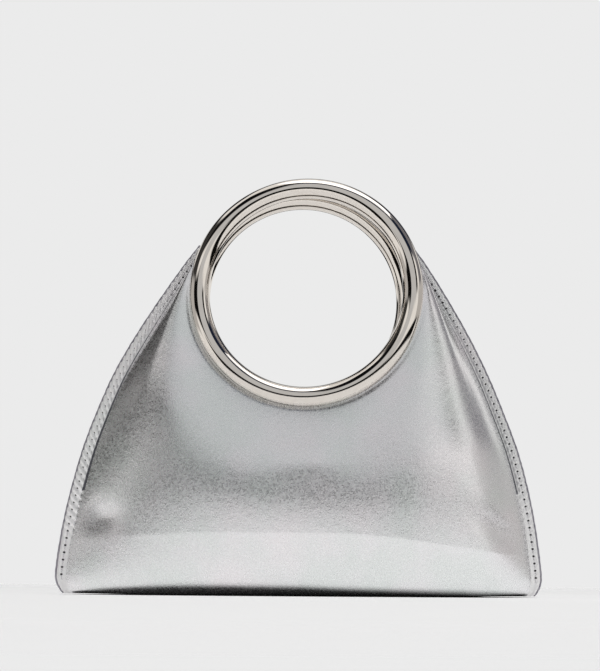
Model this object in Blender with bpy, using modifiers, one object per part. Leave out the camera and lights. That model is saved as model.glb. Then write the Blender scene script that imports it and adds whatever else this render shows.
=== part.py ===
"""Ring handle bag: two soft metallic leather panels sewn together along their sides, each holding
a polished round-tube ring that is half of the handle. Metres, +Z up, the front faces -Y.
The origin is the middle of the underside, on the floor."""

import math
from collections import namedtuple

import bmesh
import bpy

# Leather and its sewn flanges
LEATHER = 0.0016
LAYER_GAP = 0.0003
FLANGE_WIDE = 0.0050
FLANGE_NARROW = 0.0036
PAINT_THICK = 0.0008

# Rings. toward: -1 in front, 1 behind; across, forward and height: the ring's middle, forward
# being its distance from the bag's middle plane; lean: its top leans over the bag; yaw: its right
# side stands further out. Both in degrees.
Ring = namedtuple("Ring", "toward across forward height lean yaw")
RINGS = {
    "front": Ring(-1.0, 0.0013, 0.0155, 0.1627, 3.4, 6.5),
    "back": Ring(1.0, 0.0013, 0.0145, 0.1624, 3.4, 0.0),
}
RING_RADIUS = 0.0576
TUBE_RADIUS = 0.0055
RING_SEGMENTS = 64
TUBE_SEGMENTS = 12

# Slot in each ring's outer side, and the part of the ring that the leather reaches
SLOT_DEPTH = 0.0021
SLOT_WIDTH = LEATHER + 0.0006
SLOT_BOTTOM_GAP = 0.0004
TIP_ANGLE = math.radians(20.0)
SLOT_OVERRUN = math.radians(0.6)
SLOT_STEPS = 44
LIP_CLEARANCE = 0.0023

# Body. The ridge is the line where the turned-up bottom edge ends and the front begins.
RIDGE_HEIGHT = 0.0330
RIDGE_SIDE = {"left": 0.0300, "right": 0.0230}
BODY_MIDDLE = 0.0010

# Swell of each half panel: its depth, how square it stands beside the seam, and how much more
# (or less) its middle is pushed out
Dome = namedtuple("Dome", "depth square push")
DOMES = {
    ("front", "left"): Dome(0.0232, 2.3, -0.0015),
    ("front", "right"): Dome(0.0232, 6.0, 0.0030),
    ("back", "left"): Dome(0.0272, 2.6, 0.0),
    ("back", "right"): Dome(0.0272, 2.6, 0.0),
}

# Share of the way up from the ridge where the belly is widest, how much less deep the ridge is,
# and how late the front comes back towards the ring
BELLY_RISE = 0.40
RIDGE_BACK = 0.05
LEAN_POWER = 1.8

# Share of the half width over which the front reaches the ring's depth, at the ridge
WEB_WIDE = {"left": 0.85, "right": 0.60}

# Shape of the bottom edge from the floor to the ridge, as shares of its depth and height
UNDERTURN = 0.0110
TURN_OUT = (0.0, 0.55, 0.72, 1.0)
TURN_UP = (0.0, 0.0, 0.35, 1.0)

# Share of the half width beside the sewn flange that stays free of dents
SEAM_STIFF = 0.12

# Heights on the outline where the flanges and their inner creases end, beside the rings
SEAM_TOP = {"left": 0.1905, "right": 0.1930}
CREASE_TOP = {"left": 0.1862, "right": 0.1888}

# Outline of the sewn sides seen from the front: places across at a height
Outline = namedtuple("Outline", "height left right")
OUTLINE = [
    Outline(0.0000, -0.1264, 0.1268),
    Outline(0.0022, -0.1284, 0.1286),
    Outline(0.0060, -0.1305, 0.1305),
    Outline(0.0100, -0.1311, 0.1311),
    Outline(0.0200, -0.1303, 0.1303),
    Outline(0.0400, -0.1272, 0.1276),
    Outline(0.0600, -0.1228, 0.1237),
    Outline(0.0800, -0.1173, 0.1183),
    Outline(0.1000, -0.1101, 0.1109),
    Outline(0.1200, -0.1016, 0.1027),
    Outline(0.1400, -0.0906, 0.0930),
    Outline(0.1600, -0.0781, 0.0818),
    Outline(0.1800, -0.0646, 0.0694),
    Outline(0.1935, -0.0546, 0.0598),
]

# Rows of the underside and the turned-up bottom edge, from the middle of the underside to the ridge.
# reach: share of the flat's depth; turn: share of the way up to the ridge.
Row = namedtuple("Row", "reach turn")
UNDER_ROWS = [
    Row(0.00, 0.00),
    Row(0.55, 0.00),
    Row(1.00, 0.00),
    Row(1.00, 0.22),
    Row(1.00, 0.48),
    Row(1.00, 0.75),
    Row(1.00, 1.00),
]
UPPER_ROWS = 16

# Shares of the half width where columns stand between the flange's crease and the end of the slot
WEB_COLUMNS = (0.0, 0.045, 0.095)
TIP_COLUMN = 0.15
TIP_STEP = 0.012
ARC_COLUMNS = 11

# Dents and swellings of the soft panels: side, place, radii and depth (into the bag)
Dent = namedtuple("Dent", "name panel across height wide tall turn depth")
DENTS = [
    Dent("belly_swelling", "front", 0.0, 0.057, 0.110, 0.019, 0.0, -0.0010),
    Dent("belly_dent", "front", 0.002, 0.066, 0.016, 0.009, 0.0, 0.0006),
    Dent("left_pinch", "front", -0.104, 0.040, 0.026, 0.007, 22.0, 0.0012),
    Dent("right_swelling", "front", 0.080, 0.080, 0.030, 0.018, 15.0, -0.0010),
    Dent("right_pinch", "front", 0.108, 0.034, 0.018, 0.007, -30.0, 0.0012),
    Dent("belly_dent", "back", -0.012, 0.066, 0.030, 0.012, 8.0, 0.0012),
    Dent("left_pinch", "back", -0.102, 0.040, 0.020, 0.008, 20.0, 0.0015),
    Dent("right_pinch", "back", 0.106, 0.036, 0.022, 0.008, -24.0, 0.0018),
]

SILVER_LEATHER = ((0.62, 0.62, 0.63, 1.0), 0.28, 0.9)
POLISHED_METAL = ((0.66, 0.65, 0.62, 1.0), 0.05, 1.0)
GREY_EDGE_PAINT = ((0.42, 0.41, 0.44, 1.0), 0.35, 0.5)


def clear_scene():
    for thing in list(bpy.data.objects):
        bpy.data.objects.remove(thing, do_unlink=True)


def new_collection(name):
    collection = bpy.data.collections.new(name)
    bpy.context.scene.collection.children.link(collection)
    return collection


def material(name, look):
    colour, roughness, metallic = look
    made = bpy.data.materials.new(name)
    made.use_nodes = True
    shader = made.node_tree.nodes["Principled BSDF"]
    shader.inputs["Base Color"].default_value = colour
    shader.inputs["Roughness"].default_value = roughness
    shader.inputs["Metallic"].default_value = metallic
    return made


def place_in(thing, collection, look=None):
    for old in list(thing.users_collection):
        old.objects.unlink(thing)
    collection.objects.link(thing)
    if look:
        thing.data.materials.clear()
        thing.data.materials.append(look)


def mix(a, b, share):
    return a + (b - a) * share


def hump(x):
    """A rounded bump: 1 in the middle, falling smoothly to 0."""
    return math.exp(-x * x)


def ease(x):
    x = min(max(x, 0.0), 1.0)
    return x * x * (3.0 - 2.0 * x)


def outline_at(height, side):
    """Place of the finished side edge at a height, as a smooth curve through OUTLINE."""
    rows = OUTLINE
    last = len(rows) - 1
    k = 0
    while k < last - 1 and height > rows[k + 1].height:
        k += 1
    a, b = rows[k], rows[k + 1]

    def slope(i):
        low, high = rows[max(i - 1, 0)], rows[min(i + 1, last)]
        return (getattr(high, side) - getattr(low, side)) / (high.height - low.height)

    span = b.height - a.height
    t = (height - a.height) / span
    start, end = getattr(a, side), getattr(b, side)
    return (
        (2 * t**3 - 3 * t**2 + 1) * start
        + (t**3 - 2 * t**2 + t) * span * slope(k)
        + (3 * t**2 - 2 * t**3) * end
        + (t**3 - t**2) * span * slope(k + 1)
    )


def inset_outline(height, side, inset):
    """Point (across, height) that lies inset from the finished side edge, square to it."""
    step = 0.0015
    low, high = max(height - step, 0.0), height + step
    run = outline_at(high, side) - outline_at(low, side)
    rise = high - low
    length = math.hypot(run, rise)
    inward = 1.0 if side == "left" else -1.0
    edge = outline_at(height, side)
    return edge + inward * inset * rise / length, height - inward * inset * run / length


def seam_point(height, side, inset):
    """As inset_outline, but flattened onto the floor at the bottom corner."""
    across, up = inset_outline(height, side, inset)
    keep = ease(height / 0.014)
    return across, mix(height, up, keep)


def flange_width(height):
    return mix(FLANGE_WIDE, FLANGE_NARROW, ease((height - 0.140) / 0.050))


def edge_point(height, side):
    """Cut edge of the leather: the paint and its gap lie outside it."""
    return seam_point(height, side, PAINT_THICK + LAYER_GAP)


def crease_point(height, side):
    """Where the panel leaves the flat flange."""
    return seam_point(height, side, PAINT_THICK + LAYER_GAP + flange_width(height))


def ring_point(panel, angle, radius):
    """Point (across, height) in a ring's plane, seen from the front."""
    ring = RINGS[panel]
    lean, yaw = math.radians(ring.lean), math.radians(ring.yaw)
    along, up = radius * math.cos(angle), radius * math.sin(angle)
    return (
        ring.across + along * math.cos(yaw) + up * math.sin(lean) * math.sin(yaw),
        ring.height + up * math.cos(lean),
    )


def ring_plane_depth(panel, across, height):
    """How far forward a ring's middle plane stands at a place."""
    ring = RINGS[panel]
    lean, yaw = math.radians(ring.lean), math.radians(ring.yaw)
    swing = (across - ring.across) * math.tan(yaw)
    return ring.forward + swing - (height - ring.height) * math.tan(lean) / math.cos(yaw)


def column_shares():
    """Shares of the half width, from the flange's crease (0) to the middle (1)."""
    shares = list(WEB_COLUMNS) + [TIP_COLUMN, TIP_COLUMN + TIP_STEP]
    first = shares[-1]
    shares += [mix(first, 1.0, k / ARC_COLUMNS) for k in range(1, ARC_COLUMNS + 1)]
    return shares


def side_angle(share, side):
    """Angle round the ring where a column meets it."""
    from_tip = (share - TIP_COLUMN) / (1.0 - TIP_COLUMN)
    angle = mix(TIP_ANGLE, -math.pi / 2.0, from_tip)
    return angle if side == "right" else math.pi - angle


def lip_radius():
    """Radius of the first row outside the ring."""
    return RING_RADIUS + TUBE_RADIUS + LIP_CLEARANCE


def web_top(panel, share, side, lift):
    """Free top edge of the leather between the seam and the end of the slot."""
    from_seam = share / TIP_COLUMN
    seam = crease_point(CREASE_TOP[side], side)
    tip = ring_point(panel, side_angle(TIP_COLUMN, side), lip_radius())
    out = math.sin(math.pi / 2.0 * min(1.0, 1.6 * from_seam))
    return mix(seam[0], tip[0], out), mix(seam[1], tip[1], from_seam) + lift


def top_point(panel, share, side):
    """Last row of the panel outside the ring."""
    if share < TIP_COLUMN:
        return web_top(panel, share, side, 0.0)
    return ring_point(panel, side_angle(share, side), lip_radius())


def rim_point(panel, share, side):
    """Row inside the slot, or the free edge beside it."""
    if share <= TIP_COLUMN:
        return web_top(panel, share, side, 0.0010)
    inner = RING_RADIUS + TUBE_RADIUS - SLOT_DEPTH + SLOT_BOTTOM_GAP
    return ring_point(panel, side_angle(share, side), inner)


def curve(ends, t):
    """A smooth run from the first to the last of four numbers, pulled by the two between."""
    a, b, c, d = ends
    return (1 - t) ** 3 * a + 3 * (1 - t) ** 2 * t * b + 3 * (1 - t) * t**2 * c + t**3 * d


def swell(panel, share, side):
    """Forward depth across the body, a flat dome from the flange's crease to the middle."""
    dome = DOMES[panel, side]
    pushed = dome.push * 4.0 * share * (1.0 - share)
    return dome.depth * (1.0 - (1.0 - share) ** dome.square) + pushed


def ridge_depth(panel, share, side):
    """Forward depth along the ridge, a little less than the belly's."""
    return swell(panel, share, side) * (1.0 - RIDGE_BACK)


def ridge_height(share, side):
    return mix(RIDGE_SIDE[side], RIDGE_HEIGHT, ease(share / 0.6))


def dent_depth(panel, across, height):
    total = 0.0
    for dent in DENTS:
        if dent.panel != panel:
            continue
        turn = math.radians(dent.turn)
        dx = across - dent.across
        dz = height - dent.height
        along = dx * math.cos(turn) + dz * math.sin(turn)
        off = dz * math.cos(turn) - dx * math.sin(turn)
        total += dent.depth * hump(along / dent.wide) * hump(off / dent.tall)
    return total


def flange_depth():
    """Outer face of the flange: half the gap between the layers, and one layer."""
    return LAYER_GAP / 2.0 + LEATHER


def side_height(row, side):
    """Height at the side seam where a row of the underside or the bottom edge starts."""
    return mix(0.0014 * row.reach**2, RIDGE_SIDE[side], curve(TURN_UP, row.turn))


def turned_place(side_start, middle_height, share, side):
    """Place (across, height) in a row between the crease at side_start and the middle."""
    crease = crease_point(side_start, side)
    height = mix(side_start, middle_height, ease(share / 0.30))
    return mix(crease[0], BODY_MIDDLE, share), mix(crease[1], height, ease(share / 0.10))


def under_point(panel, row, share, side):
    """Point of the underside and the turned-up bottom edge."""
    depth = ridge_depth(panel, share, side)
    turn_depth = min(UNDERTURN, 0.50 * depth)
    forward = (depth - turn_depth) * row.reach + turn_depth * curve(TURN_OUT, row.turn)
    lift = curve(TURN_UP, row.turn)
    start = side_height(row, side)
    across, height = turned_place(start, ridge_height(share, side) * lift, share, side)
    base = LAYER_GAP / 2.0 + LEATHER * max(row.reach, 1.0 - ease(share / 0.15))
    forward -= dent_depth(panel, across, height) * row.turn * ease(share / SEAM_STIFF)
    return across, base + forward, height


def upper_place(panel, rise, share, side):
    """Place (across, height) between the crease, the ridge, the middle line and the ring."""
    crease = crease_point(mix(RIDGE_SIDE[side], CREASE_TOP[side], rise), side)
    seam_low = crease_point(RIDGE_SIDE[side], side)
    seam_high = crease_point(CREASE_TOP[side], side)
    middle_low = (BODY_MIDDLE, RIDGE_HEIGHT)
    middle_high = top_point(panel, 1.0, side)
    ridge = turned_place(RIDGE_SIDE[side], ridge_height(share, side), share, side)
    top = top_point(panel, share, side)
    place = []
    for k in (0, 1):
        inward = mix(crease[k], mix(middle_low[k], middle_high[k], rise), share)
        corners_low = mix(seam_low[k], middle_low[k], share)
        corners_high = mix(seam_high[k], middle_high[k], share)
        place.append(mix(ridge[k], top[k], rise) + inward - mix(corners_low, corners_high, rise))
    return place


def leave_seam(share, web):
    """How far a row has come forward between the crease (0) and the end of the web (1)."""
    return math.sin(math.pi / 2.0 * min(1.0, share / web)) ** 1.1


def upper_point(panel, rise, share, side):
    """Point of the front between the ridge (rise 0) and the ring or seam top (rise 1)."""
    across, height = upper_place(panel, rise, share, side)
    web = mix(WEB_WIDE[side], TIP_COLUMN, rise**0.6)
    ring_depth = ring_plane_depth(panel, across, height) + LEATHER / 2.0 - flange_depth()
    below = max(BELLY_RISE - rise, 0.0) / BELLY_RISE
    above = max(rise - BELLY_RISE, 0.0) / (1.0 - BELLY_RISE)
    low = mix(swell(panel, share, side), ridge_depth(panel, share, side), below**2)
    forward = mix(low, ring_depth * leave_seam(share, web), above**LEAN_POWER)
    free = 1.0 - rise**4
    forward -= dent_depth(panel, across, height) * ease(share / SEAM_STIFF) * free
    return across, flange_depth() + forward, height


def rim_row_point(panel, share, side):
    across, height = rim_point(panel, share, side)
    ring_depth = ring_plane_depth(panel, across, height) + LEATHER / 2.0 - flange_depth()
    return across, flange_depth() + ring_depth * leave_seam(share, TIP_COLUMN), height


def flange_row(height, side):
    """The flat border's cut edge."""
    across, up = edge_point(height, side)
    return across, flange_depth(), up


def half_row(panel, kind, value, side):
    """One row of points from the cut edge of the flange to the middle."""
    points = []
    if kind == "under":
        points.append(flange_row(side_height(value, side), side))
        points += [under_point(panel, value, s, side) for s in column_shares()]
    elif kind == "upper":
        height = mix(RIDGE_SIDE[side], SEAM_TOP[side], value)
        points.append(flange_row(height, side))
        points += [upper_point(panel, value, s, side) for s in column_shares()]
    else:
        across, forward, up = flange_row(SEAM_TOP[side], side)
        points.append((across, forward, up + 0.0010))
        points += [rim_row_point(panel, s, side) for s in column_shares()]
    return points


def panel_rows(panel):
    plan = [("under", row) for row in UNDER_ROWS]
    plan += [("upper", k / UPPER_ROWS) for k in range(1, UPPER_ROWS + 1)]
    plan += [("rim", None)]
    rows = []
    for kind, value in plan:
        left = half_row(panel, kind, value, "left")
        right = half_row(panel, kind, value, "right")
        rows.append(left + right[-2::-1])
    return rows


def make_panel(name, panel, collection, look):
    """A grid drawn over the body, thickened inward."""
    toward = RINGS[panel].toward
    rows = panel_rows(panel)
    across_count = len(rows[0])
    mesh = bmesh.new()
    bmesh.ops.create_grid(mesh, x_segments=across_count - 1, y_segments=len(rows) - 1, size=1.0)
    order = sorted(mesh.verts, key=lambda v: (round(v.co.y, 5), round(v.co.x, 5)))
    for number, vert in enumerate(order):
        across, forward, height = rows[number // across_count][number % across_count]
        vert.co = (across, toward * forward, height)
    if toward > 0:
        bmesh.ops.reverse_faces(mesh, faces=mesh.faces)
    for face in mesh.faces:
        face.smooth = True
    data = bpy.data.meshes.new(name)
    mesh.to_mesh(data)
    mesh.free()
    thing = bpy.data.objects.new(name, data)
    place_in(thing, collection, look)
    wall = thing.modifiers.new("leather", "SOLIDIFY")
    wall.thickness = LEATHER
    wall.offset = -1.0
    wall.solidify_mode = "NON_MANIFOLD"
    wall.nonmanifold_thickness_mode = "CONSTRAINTS"
    return thing


def make_slot_cutter(name, ring, cutters):
    """A flat arc round the ring's outer side, as thick as the slot is wide."""
    inner = RING_RADIUS + TUBE_RADIUS - SLOT_DEPTH
    outer = RING_RADIUS + TUBE_RADIUS + 0.0030
    data = bpy.data.meshes.new(name)
    data.from_pydata([(outer, 0.0, 0.0), (inner, 0.0, 0.0)], [(0, 1)], [])
    cutter = bpy.data.objects.new(name, data)
    place_in(cutter, cutters)
    arc = cutter.modifiers.new("arc", "SCREW")
    arc.axis = "Z"
    arc.angle = math.pi + 2.0 * (TIP_ANGLE + SLOT_OVERRUN)
    arc.steps = SLOT_STEPS
    arc.render_steps = SLOT_STEPS
    arc.use_merge_vertices = False
    width = cutter.modifiers.new("width", "SOLIDIFY")
    width.thickness = SLOT_WIDTH
    width.offset = 0.0
    cutter.hide_render = True
    cutter.display_type = "WIRE"
    cutter.parent = ring
    cutter.rotation_euler = (0.0, 0.0, math.pi - TIP_ANGLE - SLOT_OVERRUN)
    return cutter


def make_ring(name, panel, collection, cutters, look):
    row = RINGS[panel]
    bpy.ops.mesh.primitive_torus_add(
        major_radius=RING_RADIUS,
        minor_radius=TUBE_RADIUS,
        major_segments=RING_SEGMENTS,
        minor_segments=TUBE_SEGMENTS,
    )
    ring = bpy.context.object
    ring.name = name
    place_in(ring, collection, look)
    ring.data.shade_smooth()
    ring.location = (row.across, row.toward * row.forward, row.height)
    ring.rotation_euler = (
        math.radians(90.0 + row.toward * row.lean),
        0.0,
        math.radians(row.toward * row.yaw),
    )
    cutter = make_slot_cutter(name + "_slot", ring, cutters)
    cut = ring.modifiers.new("slot", "BOOLEAN")
    cut.operation = "DIFFERENCE"
    cut.solver = "EXACT"
    cut.object = cutter
    return ring


def make_edge_paint(name, side, collection, look):
    """Thick paint along the cut edges of both layers of a flange."""
    heights = [max(side_height(row, side), PAINT_THICK) for row in UNDER_ROWS]
    low, top = RIDGE_SIDE[side], SEAM_TOP[side]
    heights += [mix(low, top, k / UPPER_ROWS) for k in range(1, UPPER_ROWS + 1)]
    mesh = bmesh.new()
    bmesh.ops.create_grid(mesh, x_segments=1, y_segments=len(heights) - 1, size=1.0)
    order = sorted(mesh.verts, key=lambda v: (round(v.co.y, 5), round(v.co.x, 5)))
    for number, vert in enumerate(order):
        across, up = seam_point(heights[number // 2], side, PAINT_THICK)
        vert.co = (across, flange_depth() * (1 if number % 2 else -1), up)
    if side == "left":
        bmesh.ops.reverse_faces(mesh, faces=mesh.faces)
    data = bpy.data.meshes.new(name)
    mesh.to_mesh(data)
    mesh.free()
    thing = bpy.data.objects.new(name, data)
    place_in(thing, collection, look)
    coat = thing.modifiers.new("coat", "SOLIDIFY")
    coat.thickness = PAINT_THICK
    coat.offset = 1.0
    coat.use_even_offset = True
    rounding = thing.modifiers.new("rounding", "BEVEL")
    rounding.width = 0.00035
    rounding.segments = 1
    rounding.limit_method = "ANGLE"
    rounding.angle_limit = math.radians(60.0)
    return thing


def main():
    clear_scene()
    bag = new_collection("ring_handle_bag")
    cutters = new_collection("cutters")
    leather = material("silver_leather", SILVER_LEATHER)
    metal = material("polished_metal", POLISHED_METAL)
    paint = material("grey_edge_paint", GREY_EDGE_PAINT)
    for word in RINGS:
        make_ring("ring_" + word, word, bag, cutters, metal)
        make_panel(word + "_panel", word, bag, leather)
    for side in ("left", "right"):
        make_edge_paint("edge_paint_" + side, side, bag, paint)


main()
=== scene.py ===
"""Ring handle bag: silver foil leather, two polished rings, sewn and edge-painted sides."""

import math
from collections import namedtuple

import bpy
import numpy as np
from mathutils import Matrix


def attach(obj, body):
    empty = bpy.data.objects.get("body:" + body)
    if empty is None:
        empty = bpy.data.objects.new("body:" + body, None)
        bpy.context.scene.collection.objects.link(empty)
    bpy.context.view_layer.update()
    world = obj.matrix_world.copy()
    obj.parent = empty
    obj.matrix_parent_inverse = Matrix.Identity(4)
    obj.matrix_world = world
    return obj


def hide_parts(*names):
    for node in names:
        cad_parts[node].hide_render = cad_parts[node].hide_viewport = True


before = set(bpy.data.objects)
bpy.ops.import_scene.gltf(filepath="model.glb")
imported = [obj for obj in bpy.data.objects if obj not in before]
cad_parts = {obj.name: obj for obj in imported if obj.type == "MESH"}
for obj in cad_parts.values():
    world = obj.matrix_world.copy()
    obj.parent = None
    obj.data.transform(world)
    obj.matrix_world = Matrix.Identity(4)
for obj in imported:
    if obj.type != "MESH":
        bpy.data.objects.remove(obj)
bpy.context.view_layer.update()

# Sizes of the bag, in metres, as the CAD part has them
LEATHER = 0.0016
LAYER_GAP = 0.0003
FLANGE_WIDE = 0.0050
FLANGE_NARROW = 0.0036
# Height where the flange starts to narrow, and over how much height it does
NARROWING = (0.140, 0.050)
PAINT_THICK = 0.0008
FLANGE_DEPTH = LAYER_GAP / 2.0 + LEATHER

Ring = namedtuple("Ring", "toward across forward height lean yaw")
RINGS = {
    "front": Ring(-1.0, 0.0013, 0.0155, 0.1627, 3.4, 6.5),
    "back": Ring(1.0, 0.0013, 0.0145, 0.1624, 3.4, 0.0),
}
RING_RADIUS = 0.0576
TUBE_RADIUS = 0.0055
# The leather's top edge goes this far into the ring
RING_OVERLAP = 0.0008
# The leather leaves the ring at this angle above the level of its middle, and the columns up to
# this share from the seam run past the ring as a free edge
TIP_ANGLE = math.radians(20.0)
TIP_COLUMN = 0.15

# The ridge, where the turned-up bottom edge ends and the front begins, in the middle and at the
# sides, and the share of the half panel that it needs to get from one height to the other
RIDGE_HEIGHT = 0.0330
RIDGE_SIDE = {"left": 0.0300, "right": 0.0230}
RIDGE_REACH = {"left": 0.6, "right": 0.9}
# Swell of each half panel: its depth, how square it stands beside the seam at the belly and
# beside the ring, and how much more (or less) its middle is pushed out
Dome = namedtuple("Dome", "depth square top_square push")
DOMES = {
    ("front", "left"): Dome(0.0232, 2.3, 2.8, -0.0015),
    ("front", "right"): Dome(0.0232, 6.0, 3.2, 0.0030),
    ("back", "left"): Dome(0.0272, 2.6, 3.0, 0.0),
    ("back", "right"): Dome(0.0272, 2.6, 3.0, 0.0),
}
# Share of the half panel over which the leather leaves the seam for the ring, at the ridge
WEB_WIDE = {"left": 0.55, "right": 0.60}
# Share of the way up from the ridge where the belly is widest, how much less deep the ridge is,
# and how late the front comes back to the ring
BELLY_RISE = 0.40
RIDGE_BACK = 0.05
LEAN_POWER = 1.8
# How far the bottom edge turns under
UNDERTURN = 0.0110
# Shape of the bottom edge from the floor to the ridge, as shares of its depth and height
TURN_OUT = (0.0, 0.52, 0.64, 1.0)
TURN_UP = (0.0, 0.0, 0.35, 1.0)
BODY_MIDDLE = 0.0010
# Share beside the seam that is too stiff to dent
SEAM_STIFF = 0.12
# Heights where the flange's cut edge and its crease end beside the rings
SEAM_TOP = {"left": 0.1905, "right": 0.1930}
CREASE_TOP = {"left": 0.1862, "right": 0.1888}

# The finished side edges, seen from the front
Outline = namedtuple("Outline", "height left right")
OUTLINE = [
    Outline(0.0000, -0.1264, 0.1268),
    Outline(0.0022, -0.1284, 0.1286),
    Outline(0.0060, -0.1305, 0.1305),
    Outline(0.0100, -0.1311, 0.1311),
    Outline(0.0200, -0.1303, 0.1303),
    Outline(0.0400, -0.1272, 0.1276),
    Outline(0.0600, -0.1228, 0.1237),
    Outline(0.0800, -0.1173, 0.1183),
    Outline(0.1000, -0.1101, 0.1109),
    Outline(0.1200, -0.1016, 0.1027),
    Outline(0.1400, -0.0906, 0.0930),
    Outline(0.1600, -0.0781, 0.0818),
    Outline(0.1800, -0.0646, 0.0694),
    Outline(0.1935, -0.0546, 0.0598),
]

# Dents of the soft panels, and swellings where the depth is negative
Dent = namedtuple("Dent", "name panel across height wide tall turn depth")
DENTS = [
    Dent("belly_swelling", "front", 0.0, 0.057, 0.110, 0.019, 0.0, -0.0006),
    Dent("belly_fold", "front", 0.001, 0.071, 0.018, 0.009, 0.0, -0.0008),
    Dent("left_pinch", "front", -0.109, 0.041, 0.012, 0.007, 12.0, 0.0011),
    Dent("right_swelling", "front", 0.080, 0.080, 0.030, 0.018, 15.0, -0.0010),
    Dent("right_pinch", "front", 0.108, 0.034, 0.018, 0.007, -30.0, 0.0012),
    Dent("belly_dent", "back", -0.012, 0.066, 0.030, 0.012, 8.0, 0.0012),
    Dent("left_pinch", "back", -0.102, 0.040, 0.020, 0.008, 20.0, 0.0015),
    Dent("right_pinch", "back", 0.106, 0.036, 0.022, 0.008, -24.0, 0.0018),
]

# How finely the visible leather is divided
FLANGE_COLUMNS = 12
BODY_COLUMNS = 70
# The columns crowd towards the seam, where the form turns fastest
COLUMN_CROWDING = 1.6
FLAT_ROWS = 16
TURN_ROWS = 50
UPPER_ROWS = 300
# The inner face keeps every sixth row
INNER_STEP = 6
# Places of a panel's looks in its list of materials
LEATHER_LOOK, INSIDE_LOOK, BORDER_LOOK, CREASE_SHADE_LOOK = range(4)

# Sewing: stitch pitch from the photo, thread of a usual size for bags
STITCH_PITCH = 0.0039
STITCH_INSET = 0.0029
STITCH_LENGTH = 0.0029
THREAD_RADIUS = 0.00035
# How far a thread slants across its seam, in radians, and sinks into the leather
THREAD_SLANT = 0.10
THREAD_SINK = 0.00012
HOLE_RADIUS = 0.00065
# A hole is a flattened bead, this share of its round height, and stands proud by this much
HOLE_FLATNESS = 0.35
HOLE_PROUD = 0.00004
# Height of the first stitch, and how far below the seam's top the last one ends
FIRST_STITCH = 0.0060
LAST_STITCH = 0.0030
# The leather bulges between the needle holes, on a slant, most along the left side
PUCKER = {"left": 0.00080, "right": 0.00025}
PUCKER_SLANT = {"left": -0.60, "right": -0.25}
# Painted shade in the fold beside the border, where the crease's shadow falls: its columns, and
# the height where it starts
CREASE_SHADE_COLUMNS = 5
CREASE_SHADE_BOTTOM = 0.055
# The edge paint laps over the cut edge, and stands proud of the two layers
PAINT_LAP = 0.00025
PAINT_PROUD = 0.0001


def mix(a, b, share):
    return a + (b - a) * share


def hump(x):
    return np.exp(-np.square(x))


def ease(x):
    x = np.clip(x, 0.0, 1.0)
    return x * x * (3.0 - 2.0 * x)


def outline_at(height, side):
    """Place of the finished side edge at a height, as a smooth curve through OUTLINE."""
    last = len(OUTLINE) - 1
    k = 0
    while k < last - 1 and height > OUTLINE[k + 1].height:
        k += 1
    a, b = OUTLINE[k], OUTLINE[k + 1]

    def slope(i):
        low, high = OUTLINE[max(i - 1, 0)], OUTLINE[min(i + 1, last)]
        return (getattr(high, side) - getattr(low, side)) / (high.height - low.height)

    span = b.height - a.height
    t = (height - a.height) / span
    start, end = getattr(a, side), getattr(b, side)
    return (
        (2 * t**3 - 3 * t**2 + 1) * start
        + (t**3 - 2 * t**2 + t) * span * slope(k)
        + (3 * t**2 - 2 * t**3) * end
        + (t**3 - t**2) * span * slope(k + 1)
    )


def seam_point(height, side, inset):
    """Point (across, height) inset from the finished side edge, square to it."""
    step = 0.0015
    low, high = max(height - step, 0.0), height + step
    run = outline_at(high, side) - outline_at(low, side)
    rise = high - low
    length = math.hypot(run, rise)
    inward = 1.0 if side == "left" else -1.0
    across = outline_at(height, side) + inward * inset * rise / length
    up = height - inward * inset * run / length
    return across, mix(height, up, float(ease(height / 0.014)))


def flange_width(height):
    return mix(FLANGE_WIDE, FLANGE_NARROW, ease((height - NARROWING[0]) / NARROWING[1]))


def flange_point(height, side, share):
    """Point of the flat border: share 0 at its cut edge, 1 at the crease."""
    return seam_point(height, side, PAINT_THICK + share * (LAYER_GAP + flange_width(height)))


def ring_point(panel, angle, radius):
    """Point (across, height) in a ring's plane, seen from the front."""
    ring = RINGS[panel]
    lean, yaw = math.radians(ring.lean), math.radians(ring.yaw)
    along, up = radius * np.cos(angle), radius * np.sin(angle)
    return (
        ring.across + along * math.cos(yaw) + up * math.sin(lean) * math.sin(yaw),
        ring.height + up * math.cos(lean),
    )


def ring_plane_depth(panel, across, height):
    """How far forward a ring's middle plane stands at a place."""
    ring = RINGS[panel]
    lean, yaw = math.radians(ring.lean), math.radians(ring.yaw)
    swing = (across - ring.across) * math.tan(yaw)
    return ring.forward + swing - (height - ring.height) * math.tan(lean) / math.cos(yaw)


def side_angle(share, side):
    """Angle round the ring where a column meets it."""
    angle = mix(TIP_ANGLE, -math.pi / 2.0, (share - TIP_COLUMN) / (1.0 - TIP_COLUMN))
    return angle if side == "right" else math.pi - angle


def top_place(panel, share, side):
    """Last row of the panel: along the ring, and its free edge between ring and seam."""
    radius = RING_RADIUS + TUBE_RADIUS - RING_OVERLAP
    met = side_angle(np.maximum(share, TIP_COLUMN), side)
    ring_x, ring_z = ring_point(panel, met, radius)
    seam = flange_point(CREASE_TOP[side], side, 1.0)
    tip = ring_point(panel, side_angle(TIP_COLUMN, side), radius)
    from_seam = np.minimum(share / TIP_COLUMN, 1.0)
    out = np.sin(math.pi / 2.0 * np.minimum(1.0, 1.6 * from_seam))
    web_x, web_z = mix(seam[0], tip[0], out), mix(seam[1], tip[1], from_seam)
    on_ring = share >= TIP_COLUMN
    return np.where(on_ring, ring_x, web_x), np.where(on_ring, ring_z, web_z)


def swell(panel, share, side, rise=0.0):
    """Forward depth across the body, a flat dome from the flange's crease to the middle."""
    dome = DOMES[panel, side]
    square = mix(dome.square, dome.top_square, float(ease(rise)))
    pushed = dome.push * 4.0 * share * (1.0 - share)
    return dome.depth * (1.0 - (1.0 - share) ** square) + pushed


def lean_above(rise):
    """How far the front has come back from the belly's depth to the ring's."""
    return (max(rise - BELLY_RISE, 0.0) / (1.0 - BELLY_RISE)) ** LEAN_POWER


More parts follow.
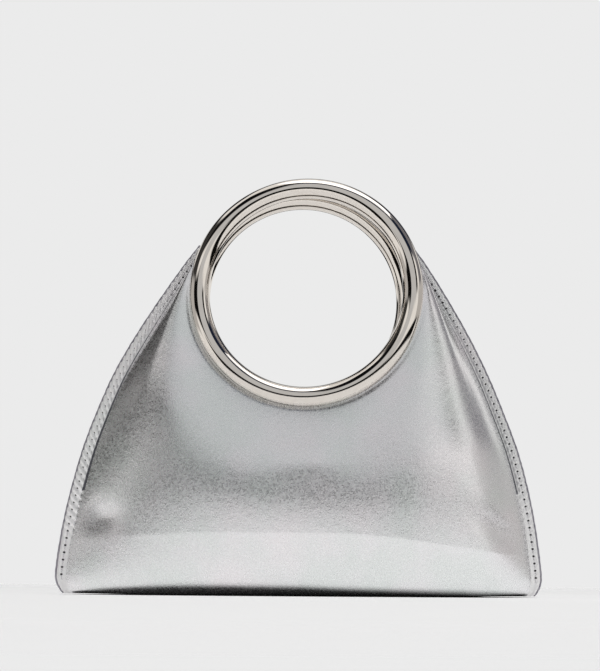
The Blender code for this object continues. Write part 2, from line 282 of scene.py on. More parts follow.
def ease_down(rise):
    """How far the front has gone back again below the belly: 1 at the ridge."""
    return (max(BELLY_RISE - rise, 0.0) / BELLY_RISE) ** 2


def curve(ends, t):
    """A smooth run from the first to the last of four numbers, pulled by the two between."""
    a, b, c, d = ends
    return (1 - t) ** 3 * a + 3 * (1 - t) ** 2 * t * b + 3 * (1 - t) * t**2 * c + t**3 * d


def ridge_depth(panel, share, side):
    """Forward depth along the ridge, a little less than the belly's."""
    return swell(panel, share, side) * (1.0 - RIDGE_BACK)


def ridge_height(share, side):
    """Height where the turned-up bottom edge ends and the front begins."""
    return mix(RIDGE_SIDE[side], RIDGE_HEIGHT, ease(share / RIDGE_REACH[side]))


def dent_depth(panel, across, height):
    total = 0.0
    for dent in DENTS:
        if dent.panel != panel:
            continue
        turn = math.radians(dent.turn)
        dx = across - dent.across
        dz = height - dent.height
        along = dx * math.cos(turn) + dz * math.sin(turn)
        off = dz * math.cos(turn) - dx * math.sin(turn)
        total = total + dent.depth * hump(along / dent.wide) * hump(off / dent.tall)
    return total


def turned_row(side_height, middle_height, share, side):
    """Places (across, height) of a row between the crease at side_height and the middle."""
    crease = flange_point(side_height, side, 1.0)
    across = mix(crease[0], BODY_MIDDLE, share)
    height = mix(side_height, middle_height, ease(share / 0.30))
    return across, mix(crease[1], height, ease(share / 0.10))


def under_row(panel, reach, turn, share, side):
    """Underside and turned-up bottom edge: reach 0 to 1 along the flat, then turn 0 to 1."""
    depth = ridge_depth(panel, share, side)
    turn_depth = np.minimum(UNDERTURN, 0.50 * depth)
    lift = curve(TURN_UP, turn)
    side_height = mix(0.0004 + 0.0009 * reach, RIDGE_SIDE[side], lift)
    forward = (depth - turn_depth) * reach + turn_depth * curve(TURN_OUT, turn)
    across, height = turned_row(side_height, ridge_height(share, side) * lift, share, side)
    base = LAYER_GAP / 2.0 + LEATHER * np.maximum(reach, 1.0 - ease(share / 0.15))
    forward = forward - dent_depth(panel, across, height) * turn * ease(share / SEAM_STIFF)
    return across, base + forward, height, side_height


def upper_row(panel, rise, share, side):
    """The panel between the ridge (rise 0) and the ring or seam top (rise 1)."""
    crease = flange_point(mix(RIDGE_SIDE[side], CREASE_TOP[side], rise), side, 1.0)
    ridge = turned_row(RIDGE_SIDE[side], ridge_height(share, side), share, side)
    seam_low = flange_point(RIDGE_SIDE[side], side, 1.0)
    seam_high = flange_point(CREASE_TOP[side], side, 1.0)
    middle_high = top_place(panel, np.array([1.0]), side)
    top = top_place(panel, share, side)
    place = []
    for k, middle_low in enumerate((BODY_MIDDLE, RIDGE_HEIGHT)):
        low = mix(seam_low[k], middle_low, share)
        high = mix(seam_high[k], middle_high[k][0], share)
        inward = mix(crease[k], mix(middle_low, middle_high[k][0], rise), share)
        place.append(mix(ridge[k], top[k], rise) + inward - mix(low, high, rise))
    across, height = place
    web = mix(WEB_WIDE[side], TIP_COLUMN, rise**0.6)
    leave = np.sin(math.pi / 2.0 * np.minimum(1.0, share / web)) ** 1.1
    ring_depth = ring_plane_depth(panel, across, height) + LEATHER / 2.0 - FLANGE_DEPTH
    belly = swell(panel, share, side, rise)
    low = mix(belly, ridge_depth(panel, share, side), ease_down(rise))
    forward = mix(low, ring_depth * leave, lean_above(rise))
    free = 1.0 - rise**4
    forward = forward - dent_depth(panel, across, height) * ease(share / SEAM_STIFF) * free
    return across, FLANGE_DEPTH + forward, height


def panel_rows():
    """(kind, value) of each row of the visible leather, from the underside's middle upward."""
    rows = [("flat", k / FLAT_ROWS) for k in range(FLAT_ROWS)]
    rows += [("turn", k / TURN_ROWS) for k in range(TURN_ROWS)]
    rows += [("upper", k / UPPER_ROWS) for k in range(UPPER_ROWS + 1)]
    return rows


def half_grid(panel, side):
    """Points [row, column] of half a panel, from the cut edge to the middle."""
    flange = np.linspace(0.0, 1.0, FLANGE_COLUMNS, endpoint=False)
    share = np.linspace(0.0, 1.0, BODY_COLUMNS) ** COLUMN_CROWDING
    rows = []
    for kind, value in panel_rows():
        if kind == "upper":
            body = upper_row(panel, value, share, side)
            cut = mix(RIDGE_SIDE[side], SEAM_TOP[side], value)
            crease = mix(RIDGE_SIDE[side], CREASE_TOP[side], value)
        else:
            reach = value if kind == "flat" else 1.0
            turn = value if kind == "turn" else 0.0
            *body, cut = under_row(panel, reach, turn, share, side)
            crease = cut
        border = [flange_point(mix(cut, crease, t), side, t) for t in flange]
        across = np.concatenate([[p[0] for p in border], body[0]])
        height = np.concatenate([[p[1] for p in border], body[2]])
        forward = np.concatenate([np.full(FLANGE_COLUMNS, FLANGE_DEPTH), body[1]])
        rows.append(np.stack([across, forward, height], axis=-1))
    return np.array(rows)


def normals_of(grid):
    """Unit normals of a grid of points, pointing away from the middle plane."""
    along = np.gradient(grid, axis=1)
    upward = np.gradient(grid, axis=0)
    normal = np.cross(upward, along)
    normal /= np.linalg.norm(normal, axis=-1, keepdims=True) + 1e-12
    return normal


def seam_lengths(grid, column):
    """Length along a column of the grid, from the bottom, at each row."""
    steps = np.linalg.norm(np.diff(grid[:, column], axis=0), axis=-1)
    return np.concatenate([[0.0], np.cumsum(steps)])


def sewn_relief(grid, panel, side):
    """Relief of the flat border: rolled cut edge, stitch groove, puckers between the stitches,
    the tuck of its crease, and the dip where the panel goes in behind the ring."""
    column = int(round(STITCH_INSET / (FLANGE_WIDE + PAINT_THICK) * FLANGE_COLUMNS))
    height = grid[..., 2]
    length = seam_lengths(grid, column)
    first = np.interp(FIRST_STITCH, height[:, column], length)
    inset = np.linalg.norm(grid - grid[:, :1], axis=-1)
    slanted = length[:, None] - first - PUCKER_SLANT[side] * (inset - STITCH_INSET)
    phase = slanted / STITCH_PITCH
    strong = ease((height - 0.025) / 0.020)
    on_border = 1.0 - ease((inset - 0.0046) / 0.0022)
    pucker = mix(0.00004, PUCKER[side], strong) * np.sin(math.pi * phase) ** 2 * on_border
    groove = -0.00012 * hump((inset - STITCH_INSET) / 0.0009)
    rolled = -0.00040 * hump(inset / 0.0006)
    from_crease = inset - (flange_width(height) + LAYER_GAP)
    tuck = -0.0008 * hump(from_crease / 0.0007) * ease((height - 0.040) / 0.025)
    ring = RINGS[panel]
    from_middle = np.hypot(grid[..., 0] - ring.across, height - ring.height)
    from_ring = from_middle - RING_RADIUS - TUBE_RADIUS
    behind_ring = -0.0003 * hump(np.maximum(from_ring, 0.0) / 0.0016) * (1.0 - on_border)
    return pucker + groove + rolled + tuck + behind_ring


def panel_grid(panel):
    """All points of a panel's outer face, relief included, and of its inner face."""
    left, right = half_grid(panel, "left"), half_grid(panel, "right")
    outer = np.concatenate([left, right[:, -2::-1]], axis=1)
    left_relief = sewn_relief(left, panel, "left")
    right_relief = sewn_relief(right, panel, "right")
    relief = np.concatenate([left_relief, right_relief[:, -2::-1]], axis=1)
    normal = normals_of(outer)
    inner = outer - normal * LEATHER
    inner[..., 1] = np.maximum(inner[..., 1], LAYER_GAP / 2.0)
    outer = outer + normal * relief[..., None]
    return outer, inner


def grid_faces(rows, columns, start):
    """Quads of a grid whose first vertex has the number start."""
    first = start + np.arange((rows - 1) * columns).reshape(rows - 1, columns)[:, :-1].ravel()
    return np.stack([first, first + 1, first + columns + 1, first + columns], axis=-1)


def new_object(name, points, faces, looks, look_numbers=None):
    data = bpy.data.meshes.new(name)
    data.from_pydata([tuple(p) for p in points], [], [tuple(f) for f in faces])
    for look in looks:
        data.materials.append(look)
    if look_numbers is not None:
        data.polygons.foreach_set("material_index", look_numbers)
    data.shade_smooth()
    data.update()
    thing = bpy.data.objects.new(name, data)
    bpy.context.scene.collection.objects.link(thing)
    return thing


def make_panel(panel, looks):
    """Front or back leather: a fine outer face, a coarser inner face, joined along all edges."""
    toward = RINGS[panel].toward
    outer, inner = panel_grid(panel)
    kept = list(range(0, outer.shape[0], INNER_STEP))
    if kept[-1] != outer.shape[0] - 1:
        kept.append(outer.shape[0] - 1)
    inner = inner[kept]
    rows, columns = outer.shape[:2]
    for grid in (outer, inner):
        grid[..., 1] *= toward
    points = np.concatenate([outer.reshape(-1, 3), inner.reshape(-1, 3)])
    outside = grid_faces(rows, columns, 0)
    inside = grid_faces(len(kept), columns, rows * columns)[:, ::-1]
    last_in = rows * columns + (len(kept) - 1) * columns
    last_out = (rows - 1) * columns
    rim = []
    for c in range(columns - 1):
        rim.append((last_out + c, last_out + c + 1, last_in + c + 1, last_in + c))
        rim.append((c + 1, c, rows * columns + c, rows * columns + c + 1))
    for edge, back in ((0, False), (columns - 1, True)):
        for i in range(len(kept) - 1):
            run = [r * columns + edge for r in range(kept[i], kept[i + 1] + 1)]
            inner_low = rows * columns + i * columns + edge
            loop = run + [inner_low + columns, inner_low]
            rim.append(loop[::-1] if back else loop)
    faces = [list(f) for f in outside] + [list(f) for f in inside] + rim
    if toward > 0:
        faces = [f[::-1] for f in faces]
    row, place = np.divmod(np.arange(len(outside)), columns - 1)
    from_edge = np.minimum(place, columns - 2 - place)
    # Painted shade: the columns just inside the border, above a given height, get the dark look
    # of the crease's shadow
    in_crease_shade = (from_edge < FLANGE_COLUMNS + CREASE_SHADE_COLUMNS) & (outer[row, place, 2] > CREASE_SHADE_BOTTOM)
    body_look = np.where(in_crease_shade, CREASE_SHADE_LOOK, LEATHER_LOOK)
    look_number = np.where(from_edge < FLANGE_COLUMNS, BORDER_LOOK, body_look)
    numbers = list(look_number) + [INSIDE_LOOK] * len(inside) + [LEATHER_LOOK] * len(rim)
    thing = new_object(panel + "_leather", points, faces, looks, numbers)
    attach(thing, "root")
    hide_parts(panel + "_panel")


def stitch_places(side):
    """(across, height, heading) of each stitch along a side, seen from the front."""
    heights = np.linspace(FIRST_STITCH, SEAM_TOP[side] - LAST_STITCH, 1200)
    line = np.array([seam_point(h, side, PAINT_THICK + STITCH_INSET) for h in heights])
    steps = np.linalg.norm(np.diff(line, axis=0), axis=-1)
    length = np.concatenate([[0.0], np.cumsum(steps)])
    places = []
    for k in range(int(length[-1] / STITCH_PITCH)):
        spot = (k + 0.5) * STITCH_PITCH
        point = [np.interp(spot, length, line[:, i]) for i in (0, 1)]
        ahead = [np.interp(spot + 0.0005, length, line[:, i]) for i in (0, 1)]
        heading = math.atan2(ahead[1] - point[1], ahead[0] - point[0])
        places.append((point[0], point[1], heading))
    return places


def capsule(length, radius, rings=5, around=10):
    """Points and faces of a short thread lying along X, its ends bent down into the leather."""
    points, faces = [], []
    count = 2 * rings + 1
    for i in range(count):
        u = -1.0 + 2.0 * i / (count - 1)
        width = radius * math.sqrt(max(1.0 - abs(u) ** 6, 0.02))
        sink = -radius * 1.1 * u**4
        for j in range(around):
            a = 2.0 * math.pi * j / around
            points.append((u * length / 2.0, width * math.cos(a), width * math.sin(a) + sink))
    for i in range(count - 1):
        for j in range(around):
            k = (j + 1) % around
            low, high = i * around, (i + 1) * around
            faces.append((low + j, high + j, high + k, low + k))
    faces.append(tuple(range(around)))
    faces.append(tuple(reversed(range((count - 1) * around, count * around))))
    return np.array(points), faces


def make_stitches(panel, thread_look, hole_shade_look):
    """All threads and needle holes of one panel's two side seams."""
    toward = RINGS[panel].toward
    thread_points, thread_faces = capsule(STITCH_LENGTH, THREAD_RADIUS)
    # The needle holes are dark flat beads on the leather: painted shade of holes, not cut into it
    hole_points, hole_faces = capsule(HOLE_RADIUS * 2.0, HOLE_RADIUS, rings=3)
    for word, form, faces_of_one, look, shift in (
        ("thread", thread_points, thread_faces, thread_look, 0.0),
        ("needle_holes", hole_points, hole_faces, hole_shade_look, STITCH_PITCH / 2.0),
    ):
        points, faces = [], []
        for side in ("left", "right"):
            for across, height, heading in stitch_places(side):
                tilt = heading + THREAD_SLANT if word == "thread" else heading
                c, s = math.cos(tilt), math.sin(tilt)
                start = len(points)
                for x, y, z in form:
                    px = across + shift * math.cos(heading) + c * x - s * y
                    pz = height + shift * math.sin(heading) + s * x + c * y
                    out = z if word == "thread" else z * HOLE_FLATNESS + HOLE_PROUD
                    points.append((px, toward * (FLANGE_DEPTH + out - THREAD_SINK), pz))
                flip = toward < 0
                for f in faces_of_one:
                    f = [start + i for i in f]
                    faces.append(f[::-1] if flip else f)
        thing = new_object(panel + "_" + word, points, faces, [look])
        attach(thing, "root")


def make_ring(panel, look):
    """Polished tube ring, one even tube: the joint of its ends isn't drawn."""
    row = RINGS[panel]
    bpy.ops.mesh.primitive_torus_add(
        major_radius=RING_RADIUS,
        minor_radius=TUBE_RADIUS,
        major_segments=256,
        minor_segments=48,
    )
    ring = bpy.context.object
    ring.name = panel + "_ring"
    ring.location = (row.across, row.toward * row.forward, row.height)
    ring.rotation_euler = (
        math.radians(90.0 + row.toward * row.lean),
        0.0,
        math.radians(row.toward * row.yaw),
    )
    ring.data.materials.clear()
    ring.data.materials.append(look)
    ring.data.shade_smooth()
    bpy.context.view_layer.update()
    ring.data.transform(ring.matrix_world)
    ring.matrix_world.identity()
    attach(ring, "root")
    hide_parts("ring_" + panel)


def make_edge_paint(side, look):
    """Rounded, slightly uneven paint along the cut edges of both layers."""
    heights = np.concatenate(
        [np.linspace(0.0005, 0.012, 24), np.linspace(0.0125, SEAM_TOP[side], 320)]
    )
    half = FLANGE_DEPTH + PAINT_PROUD
    around = np.linspace(-1.0, 1.0, 11)
    points = []
    for number, h in enumerate(heights):
        wave = 0.00005 * math.sin(number * 0.83) + 0.00004 * math.sin(number * 0.31 + 1.0)
        for a in around:
            bulge = PAINT_THICK * (1.0 - abs(a) ** 3.0) + PAINT_LAP
            across, up = seam_point(h, side, PAINT_THICK + PAINT_LAP - bulge - wave)
            points.append((across, half * a, max(up, 0.0004)))
    faces = grid_faces(len(heights), len(around), 0)
    if side == "left":
        faces = faces[:, ::-1]
    thing = new_object("edge_paint_coat_" + side, points, faces, [look])
    back = thing.modifiers.new("coat", "SOLIDIFY")
    back.thickness = 0.0006
    back.offset = -1.0
    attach(thing, "root")
    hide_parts("edge_paint_" + side)


# Looks


def srgb(code):
    """Linear colour of a hex value such as "#D4D4D6"."""
    channels = [int(code[i : i + 2], 16) / 255.0 for i in (1, 3, 5)]
    linear = [c / 12.92 if c <= 0.04045 else ((c + 0.055) / 1.055) ** 2.4 for c in channels]
    return (*linear, 1.0)


def node(tree, kind, settings=None, inputs=None):
    """Adds a node. An input is a value, or another node's output to link."""
    made = tree.nodes.new(kind)
    for key, value in (settings or {}).items():
        setattr(made, key, value)
    for key, value in (inputs or {}).items():
        if isinstance(value, bpy.types.NodeSocket):
            tree.links.new(value, made.inputs[key])
        else:
            made.inputs[key].default_value = value
    return made


def ramp(tree, factor, stops):
    """Colour ramp with stops of (place, hex colour)."""
    made = node(tree, "ShaderNodeValToRGB", inputs={"Fac": factor})
    band = made.color_ramp
    while len(band.elements) > 1:
        band.elements.remove(band.elements[0])
    band.elements[0].position = stops[0][0]
    band.elements[0].color = srgb(stops[0][1])
    for place, code in stops[1:]:
        band.elements.new(place).color = srgb(code)
    return made.outputs["Color"]


def new_look(name):
    look = bpy.data.materials.new(name)
    look.use_nodes = True
    return look, look.node_tree, look.node_tree.nodes["Principled BSDF"]


def silver_foil_leather(name, grain_depth, tints, gloss, foil_cover):
    """Chrome-tanned goat skin under a heat-pressed silver foil: a soft metal mirror broken up by
    the skin's fine pebble, whose facets each catch the light a little differently."""
    look, tree, shader = new_look(name)
    place = node(tree, "ShaderNodeTexCoord").outputs["Object"]
    # Pebbles about 0.8 mm across, drawn a little coarser than real so that they show
    pebble = node(
        tree,
        "ShaderNodeTexVoronoi",
        {"feature": "F1"},
        {"Vector": place, "Scale": 1.0 / 0.0008},
    )
    facet = node(
        tree, "ShaderNodeSeparateColor", None, {"Color": pebble.outputs["Color"]}
    ).outputs[0]
    # Slow swell of the skin, 4 mm across
    swelling = node(
        tree,
        "ShaderNodeTexNoise",
        None,
        {"Vector": place, "Scale": 1.0 / 0.0040, "Detail": 3.0, "Roughness": 0.6},
    ).outputs["Fac"]
    # Clouds of handling and cleaning, 30 mm across
    handled = node(
        tree,
        "ShaderNodeTexNoise",
        None,
        {"Vector": place, "Scale": 1.0 / 0.030, "Detail": 2.0, "Roughness": 0.5},
    ).outputs["Fac"]
    low = node(
        tree,
        "ShaderNodeBump",
        None,
        {"Height": swelling, "Strength": 0.22, "Distance": 0.00030},
    ).outputs["Normal"]
    bump = node(
        tree,
        "ShaderNodeBump",
        None,
        {
            "Height": pebble.outputs["Distance"],
            "Strength": grain_depth,
            "Distance": 0.00010,
            "Normal": low,
        },
    ).outputs["Normal"]
    tree.links.new(bump, shader.inputs["Normal"])
    tint = ramp(tree, handled, list(zip((0.35, 0.50, 0.65), tints)))
    glint = node(
        tree,
        "ShaderNodeMapRange",
        None,
        {"Value": facet, "To Min": 0.955, "To Max": 1.0},
    ).outputs["Result"]
    foil = node(
        tree,
        "ShaderNodeMix",
        {"data_type": "RGBA", "blend_type": "MULTIPLY"},
        {"Factor": 1.0, 6: tint, 7: glint},
    ).outputs[2]
    tree.links.new(foil, shader.inputs["Base Color"])
    dull = node(
        tree,
        "ShaderNodeMapRange",
        None,
        {"Value": facet, "To Min": gloss[0], "To Max": gloss[1]},
    ).outputs["Result"]
    tree.links.new(dull, shader.inputs["Roughness"])
    shader.inputs["Metallic"].default_value = foil_cover
    return look


def leather_inside():
    """Split leather's brushed back: dull grey nap."""
    look, tree, shader = new_look("leather_inside")
    place = node(tree, "ShaderNodeTexCoord").outputs["Object"]
    nap = node(
        tree,
        "ShaderNodeTexNoise",
        None,
        {"Vector": place, "Scale": 1.0 / 0.0008, "Detail": 5.0},
    ).outputs["Fac"]
    tint = ramp(tree, nap, [(0.3, "#6F6D6C"), (0.7, "#8D8B89")])
    tree.links.new(tint, shader.inputs["Base Color"])
    bump = node(
        tree, "ShaderNodeBump", None, {"Height": nap, "Strength": 0.5, "Distance": 0.0001}
    )
    tree.links.new(bump.outputs["Normal"], shader.inputs["Normal"])
    shader.inputs["Roughness"].default_value = 0.9
    shader.inputs["Sheen Weight"].default_value = 0.3
    return look


def nickel_plate():
    """Brass tube, polished and nickel plated: a warm mirror with hair-fine handling marks."""
    look, tree, shader = new_look("nickel_plate")
    place = node(tree, "ShaderNodeTexCoord").outputs["Object"]
    smear = node(
        tree,
        "ShaderNodeTexNoise",
        None,
        {"Vector": place, "Scale": 1.0 / 0.006, "Detail": 6.0, "Roughness": 0.6},
    ).outputs["Fac"]
    gloss = node(
        tree,
        "ShaderNodeMapRange",
        None,
        {"Value": smear, "From Min": 0.35, "From Max": 0.75, "To Min": 0.035, "To Max": 0.075},
    ).outputs["Result"]
    tree.links.new(gloss, shader.inputs["Roughness"])
    tint = ramp(tree, smear, [(0.3, "#E9E3DC"), (0.7, "#E4DDD5")])
    tree.links.new(tint, shader.inputs["Base Color"])
    shader.inputs["Metallic"].default_value = 1.0
    return look


def grey_edge_paint():
    """Water-based acrylic edge paint, three coats, heat smoothed: grey-lilac, half gloss."""
    look, tree, shader = new_look("grey_edge_paint")
    place = node(tree, "ShaderNodeTexCoord").outputs["Object"]
    cloud = node(
        tree,
        "ShaderNodeTexNoise",
        None,
        {"Vector": place, "Scale": 1.0 / 0.004, "Detail": 3.0},
    ).outputs["Fac"]
    tint = ramp(tree, cloud, [(0.35, "#8E8B96"), (0.65, "#A6A3AC")])
    tree.links.new(tint, shader.inputs["Base Color"])
    bump = node(
        tree, "ShaderNodeBump", None, {"Height": cloud, "Strength": 0.4, "Distance": 0.0002}
    )
    tree.links.new(bump.outputs["Normal"], shader.inputs["Normal"])
    shader.inputs["Roughness"].default_value = 0.38
    shader.inputs["Metallic"].default_value = 0.25
    return look


def bonded_thread():
    """Bonded polyester thread, pale grey, its three plies showing as a slanting twist."""
    look, tree, shader = new_look("bonded_thread")
    place = node(tree, "ShaderNodeTexCoord").outputs["Object"]
    twist = node(
        tree,
        "ShaderNodeTexWave",
        {"wave_type": "BANDS", "bands_direction": "DIAGONAL"},
        {"Vector": place, "Scale": 1.0 / 0.0018, "Distortion": 0.5},
    ).outputs["Color"]
    tint = ramp(tree, twist, [(0.2, "#CFCDCF"), (0.8, "#EFEDEF")])
    tree.links.new(tint, shader.inputs["Base Color"])
    shader.inputs["Roughness"].default_value = 0.45
    shader.inputs["Metallic"].default_value = 0.5
    return look


def needle_hole_shade():
    """Painted shade of a needle hole: the dark colour of the shadowed leather fibre inside it."""
    look, tree, shader = new_look("needle_hole_shade")
    place = node(tree, "ShaderNodeTexCoord").outputs["Object"]
    fibre = node(
        tree, "ShaderNodeTexNoise", None, {"Vector": place, "Scale": 1.0 / 0.0006}
    ).outputs["Fac"]
    tint = ramp(tree, fibre, [(0.3, "#1C1A1C"), (0.7, "#3A363B")])
    tree.links.new(tint, shader.inputs["Base Color"])
    shader.inputs["Roughness"].default_value = 0.9
    return look


# Studio

Card = namedtuple("Card", "name left right low high soft colour")
# Panels of the studio as directions in degrees: left and right azimuth as seen from the front,
# lowest and highest elevation. They are fitted to the streaks that the rings and the leather
# show in the photograph, and they repeat behind the bag.
CARDS = [
    Card("side_wall_left", -100.0, -66.0, -5.0, 20.0, 3.0, "#BDBBB9"),
    Card("side_wall_right", 52.0, 100.0, -5.0, 17.0, 4.0, "#BDBBB9"),
    Card("cupboard_right", 66.0, 100.0, 17.0, 56.0, 3.0, "#77767A"),
    Card("front_wall", -31.0, 31.0, -5.0, 47.0, 2.0, "#C8C9CA"),
    Card("window", 8.0, 55.0, 0.0, 13.0, 3.0, "#F4F3F1"),
    Card("cupboard_left", -100.0, -58.0, 20.0, 48.0, 3.0, "#3A3938"),
    Card("window_frame_left", -69.0, -27.5, 7.5, 21.0, 2.0, "#0C0B0B"),
    Card("window_frame_right", 27.5, 44.5, 16.0, 40.0, 2.5, "#0C0B0B"),
    Card("ceiling_edge", -42.0, 42.0, 45.0, 56.0, 1.5, "#262F42"),
    Card("dark_corner_left", -66.0, -18.0, 30.0, 60.0, 3.0, "#0E0E10"),
    Card("dark_corner_right", 24.0, 66.0, 32.0, 62.0, 3.0, "#1C2436"),
    Card("skirting_left", -46.0, 6.0, -15.0, 3.5, 1.5, "#0E0D0C"),
    Card("skirting_right", 5.0, 80.0, -15.0, -1.0, 1.5, "#0E0D0C"),
    Card("lit_floor", -100.0, 100.0, -95.0, -18.0, 1.5, "#FFFEFD"),
]
# Degrees that the panels are turned about the bag
STUDIO_TURN = 2.4
ROOM_WHITE = "#F4F3F1"
BACKDROP = "#EBEBEB"


def window(tree, value, low, high, soft):
    """1 between low and high, falling to 0 over soft to each side."""
    rise = node(
        tree,
        "ShaderNodeMapRange",
        {"interpolation_type": "SMOOTHSTEP"},
        {"Value": value, "From Min": low - soft, "From Max": low + soft},
    ).outputs["Result"]
    fall = node(
        tree,
        "ShaderNodeMapRange",
        {"interpolation_type": "SMOOTHSTEP"},
        {
            "Value": value,
            "From Min": high - soft,
            "From Max": high + soft,
            "To Min": 1.0,
            "To Max": 0.0,
        },
    ).outputs["Result"]
    return node(tree, "ShaderNodeMath", {"operation": "MULTIPLY"}, {0: rise, 1: fall}).outputs[0]


def make_studio():
    """A white room with a grey wall, dark frames and a dark skirting, as the rings mirror it.
    The camera itself sees a plain backdrop in its place."""
    world = bpy.data.worlds.new("studio")
    bpy.context.scene.world = world
    world.use_nodes = True
    tree = world.node_tree
    tree.nodes.clear()
    way = node(tree, "ShaderNodeTexCoord").outputs["Generated"]
    parts = node(tree, "ShaderNodeSeparateXYZ", None, {"Vector": way}).outputs
    along = node(tree, "ShaderNodeMath", {"operation": "ABSOLUTE"}, {0: parts["Y"]}).outputs[0]
    turn = node(
        tree, "ShaderNodeMath", {"operation": "ARCTAN2"}, {0: parts["X"], 1: along}
    ).outputs[0]
    lift = node(tree, "ShaderNodeMath", {"operation": "ARCSINE"}, {0: parts["Z"]}).outputs[0]
    turned = node(tree, "ShaderNodeMath", {"operation": "DEGREES"}, {0: turn}).outputs[0]
    azimuth = node(
        tree, "ShaderNodeMath", {"operation": "SUBTRACT"}, {0: turned, 1: STUDIO_TURN}
    ).outputs[0]
    elevation = node(tree, "ShaderNodeMath", {"operation": "DEGREES"}, {0: lift}).outputs[0]
    colour = srgb(ROOM_WHITE)
    for card in CARDS:
        wide = window(tree, azimuth, card.left, card.right, card.soft)
        tall = window(tree, elevation, card.low, card.high, card.soft)
        inside = node(
            tree, "ShaderNodeMath", {"operation": "MULTIPLY"}, {0: wide, 1: tall}
        ).outputs[0]
        colour = node(
            tree,
            "ShaderNodeMix",
            {"data_type": "RGBA"},
            {"Factor": inside, 6: colour, 7: srgb(card.colour)},
        ).outputs[2]
    room = node(tree, "ShaderNodeBackground", None, {"Color": colour, "Strength": 1.0}).outputs[0]
    plain = node(tree, "ShaderNodeBackground", None, {"Color": srgb(BACKDROP)}).outputs[0]
    seen = node(tree, "ShaderNodeLightPath").outputs["Is Camera Ray"]
    both = node(tree, "ShaderNodeMixShader", None, {0: seen, 1: room, 2: plain}).outputs[0]
    node(tree, "ShaderNodeOutputWorld", None, {"Surface": both})


# Lit paper: its own light keeps it as pale as the backdrop, all but a painted shadow under the
# bag, a dark lens where the glow is also held back, fading out over SHADE_REACH. The paper ends
# softly, so no horizon shows.
FLOOR_COLOUR = "#ECECEC"
FLOOR_GLOW = 0.345
FLOOR_SIZE = 3.0
FLOOR_DROP = 0.0002
# Half width and half depth of the painted shadow under the bag
PAINTED_SHADOW = (0.122, 0.019)
PAINTED_SHADOW_COLOUR = "#3A3A3A"
# How fast the painted shadow narrows towards its two corners
PAINTED_SHADOW_POWER = 4.0
SHADE_REACH = (0.000, 0.008)
FLOOR_END = (0.30, 0.70)


def make_floor():
    """Pale paper floor, with a painted shadow under the bag."""
    look = bpy.data.materials.new("pale_floor")
    look.use_nodes = True
    tree = look.node_tree
    tree.nodes.clear()
    place = node(tree, "ShaderNodeTexCoord").outputs["Object"]
    away = node(tree, "ShaderNodeVectorMath", {"operation": "ABSOLUTE"}, {0: place}).outputs[0]
    # The painted shadow is a lens: its half depth falls to nothing at the two bottom corners
    per_shadow_width = (1.0 / PAINTED_SHADOW[0], 0.0, 0.0)
    shares = node(
        tree, "ShaderNodeVectorMath", {"operation": "MULTIPLY"}, {0: away, 1: per_shadow_width}
    ).outputs[0]
    share = node(
        tree, "ShaderNodeVectorMath", {"operation": "LENGTH"}, {0: shares}
    ).outputs["Value"]
    fall = node(
        tree, "ShaderNodeMath", {"operation": "POWER"}, {0: share, 1: PAINTED_SHADOW_POWER}
    ).outputs[0]
    half_depth = node(
        tree,
        "ShaderNodeMapRange",
        None,
        {"Value": fall, "To Min": PAINTED_SHADOW[1], "To Max": 0.0},
    ).outputs["Result"]
    shadow_half_size = node(tree, "ShaderNodeCombineXYZ", None, {"X": PAINTED_SHADOW[0], "Y": half_depth}).outputs[0]
    beside = node(
        tree, "ShaderNodeVectorMath", {"operation": "SUBTRACT"}, {0: away, 1: shadow_half_size}
    ).outputs[0]
    outside = node(
        tree, "ShaderNodeVectorMath", {"operation": "MAXIMUM"}, {0: beside, 1: (0.0, 0.0, 0.0)}
    ).outputs[0]
    gap = node(
        tree, "ShaderNodeVectorMath", {"operation": "LENGTH"}, {0: outside}
    ).outputs["Value"]
    beyond_painted_shadow = node(
        tree,
        "ShaderNodeMapRange",
        {"interpolation_type": "SMOOTHSTEP"},
        {"Value": gap, "From Min": SHADE_REACH[0], "From Max": SHADE_REACH[1]},
    ).outputs["Result"]
    far = node(
        tree,
        "ShaderNodeMapRange",
        {"interpolation_type": "SMOOTHSTEP"},
        {"Value": gap, "From Min": FLOOR_END[0], "From Max": FLOOR_END[1]},
    ).outputs["Result"]
    # Painted shadow: the floor's glow is held back under the bag as well
    glow_power = node(
        tree, "ShaderNodeMath", {"operation": "MULTIPLY"}, {0: beyond_painted_shadow, 1: FLOOR_GLOW}
    ).outputs[0]
    # Painted shadow: a dark colour under the bag, the pale paper beyond it
    paper_and_shadow = node(
        tree,
        "ShaderNodeMix",
        {"data_type": "RGBA"},
        {"Factor": beyond_painted_shadow, 6: srgb(PAINTED_SHADOW_COLOUR), 7: srgb(FLOOR_COLOUR)},
    ).outputs[2]
    matt = node(tree, "ShaderNodeBsdfDiffuse", None, {"Color": paper_and_shadow}).outputs[0]
    glow = node(tree, "ShaderNodeEmission", None, {"Strength": glow_power}).outputs[0]
    lit = node(tree, "ShaderNodeAddShader", None, {0: matt, 1: glow}).outputs[0]
    clear = node(tree, "ShaderNodeBsdfTransparent").outputs[0]
    faded = node(tree, "ShaderNodeMixShader", None, {0: far, 1: lit, 2: clear}).outputs[0]
    node(tree, "ShaderNodeOutputMaterial", None, {"Surface": faded})
    bpy.ops.mesh.primitive_plane_add(size=FLOOR_SIZE, location=(0.0, 0.0, -FLOOR_DROP))
    floor = bpy.context.object
    floor.name = "floor"
    floor.data.materials.append(look)


def make_lights():
    """One large soft lamp from above, for the faint shadow beside the bag."""
    lamp = bpy.data.lights.new("overhead_softbox", "AREA")
    lamp.shape = "RECTANGLE"
    lamp.size = 1.2
    lamp.size_y = 0.9
    lamp.energy = 4.0
    place = bpy.data.objects.new("overhead_softbox", lamp)
    place.location = (0.25, -0.35, 1.5)
    place.rotation_euler = (math.radians(-13.0), math.radians(9.0), 0.0)
    bpy.context.scene.collection.objects.link(place)


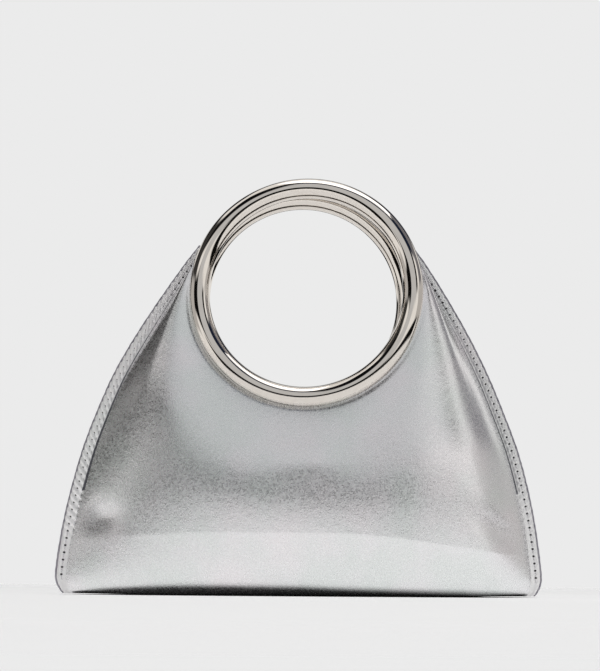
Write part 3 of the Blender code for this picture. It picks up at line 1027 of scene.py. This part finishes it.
# The photograph: 600 by 671 pixels, 0.546 mm a pixel at the bag's middle plane. It looks level
# from close above the floor. The camera here is tilted up instead of shifted all the way, so that
# the other views show the whole bag, and its lens is a little longer to make up for that.
PIXEL = 0.000546
CAMERA_DISTANCE = 0.80
CAMERA_HEIGHT = 0.012
CAMERA_TURN = math.radians(2.37)
CAMERA_ROLL = math.radians(0.45)
CAMERA_TILT = math.radians(5.86)
LENS_TRIM = 1.009
LONG_SIDE = 671
BASE_ROW = 595.0


def make_camera():
    data = bpy.data.cameras.new("camera")
    data.sensor_width = 36.0
    pixels_away = CAMERA_DISTANCE / PIXEL * LENS_TRIM
    data.lens = pixels_away * data.sensor_width / LONG_SIDE
    eye_row = BASE_ROW - CAMERA_HEIGHT / PIXEL - LONG_SIDE / 2.0
    data.shift_y = (eye_row - pixels_away * math.tan(CAMERA_TILT)) / LONG_SIDE
    data.clip_start = 0.01
    camera = bpy.data.objects.new("camera", data)
    camera.location = (
        -CAMERA_DISTANCE * math.sin(CAMERA_TURN),
        -CAMERA_DISTANCE * math.cos(CAMERA_TURN),
        CAMERA_HEIGHT,
    )
    camera.rotation_euler = (math.radians(90.0) + CAMERA_TILT, -CAMERA_ROLL, -CAMERA_TURN)
    bpy.context.scene.collection.objects.link(camera)
    bpy.context.scene.camera = camera


def main():
    bpy.context.scene.view_settings.view_transform = "Standard"
    leather = silver_foil_leather(
        "silver_foil_leather", 0.22, ("#FAF7F9", "#F6F6F7", "#F1F4F3"), (0.23, 0.33), 1.0
    )
    # The side borders, pressed flat under the sewing foot: little grain left, the foil cracked
    # by the needle, so duller and paler
    border = silver_foil_leather(
        "pressed_border", 0.18, ("#FFFCFD", "#FEFDFD", "#FBFCFB"), (0.28, 0.36), 0.40
    )
    # Painted shade: a dark copy of the foil in the fold beside the border, standing in for the
    # crease's shadow
    crease_shade = silver_foil_leather(
        "painted_crease_shade", 0.30, ("#77777F", "#6C6C75", "#63646B"), (0.45, 0.55), 0.8
    )
    inside = leather_inside()
    metal = nickel_plate()
    paint = grey_edge_paint()
    thread = bonded_thread()
    hole_shade = needle_hole_shade()
    for panel in RINGS:
        make_ring(panel, metal)
        make_panel(panel, [leather, inside, border, crease_shade])
        make_stitches(panel, thread, hole_shade)
    for side in ("left", "right"):
        make_edge_paint(side, paint)
    make_studio()
    make_floor()
    make_lights()
    make_camera()


main()
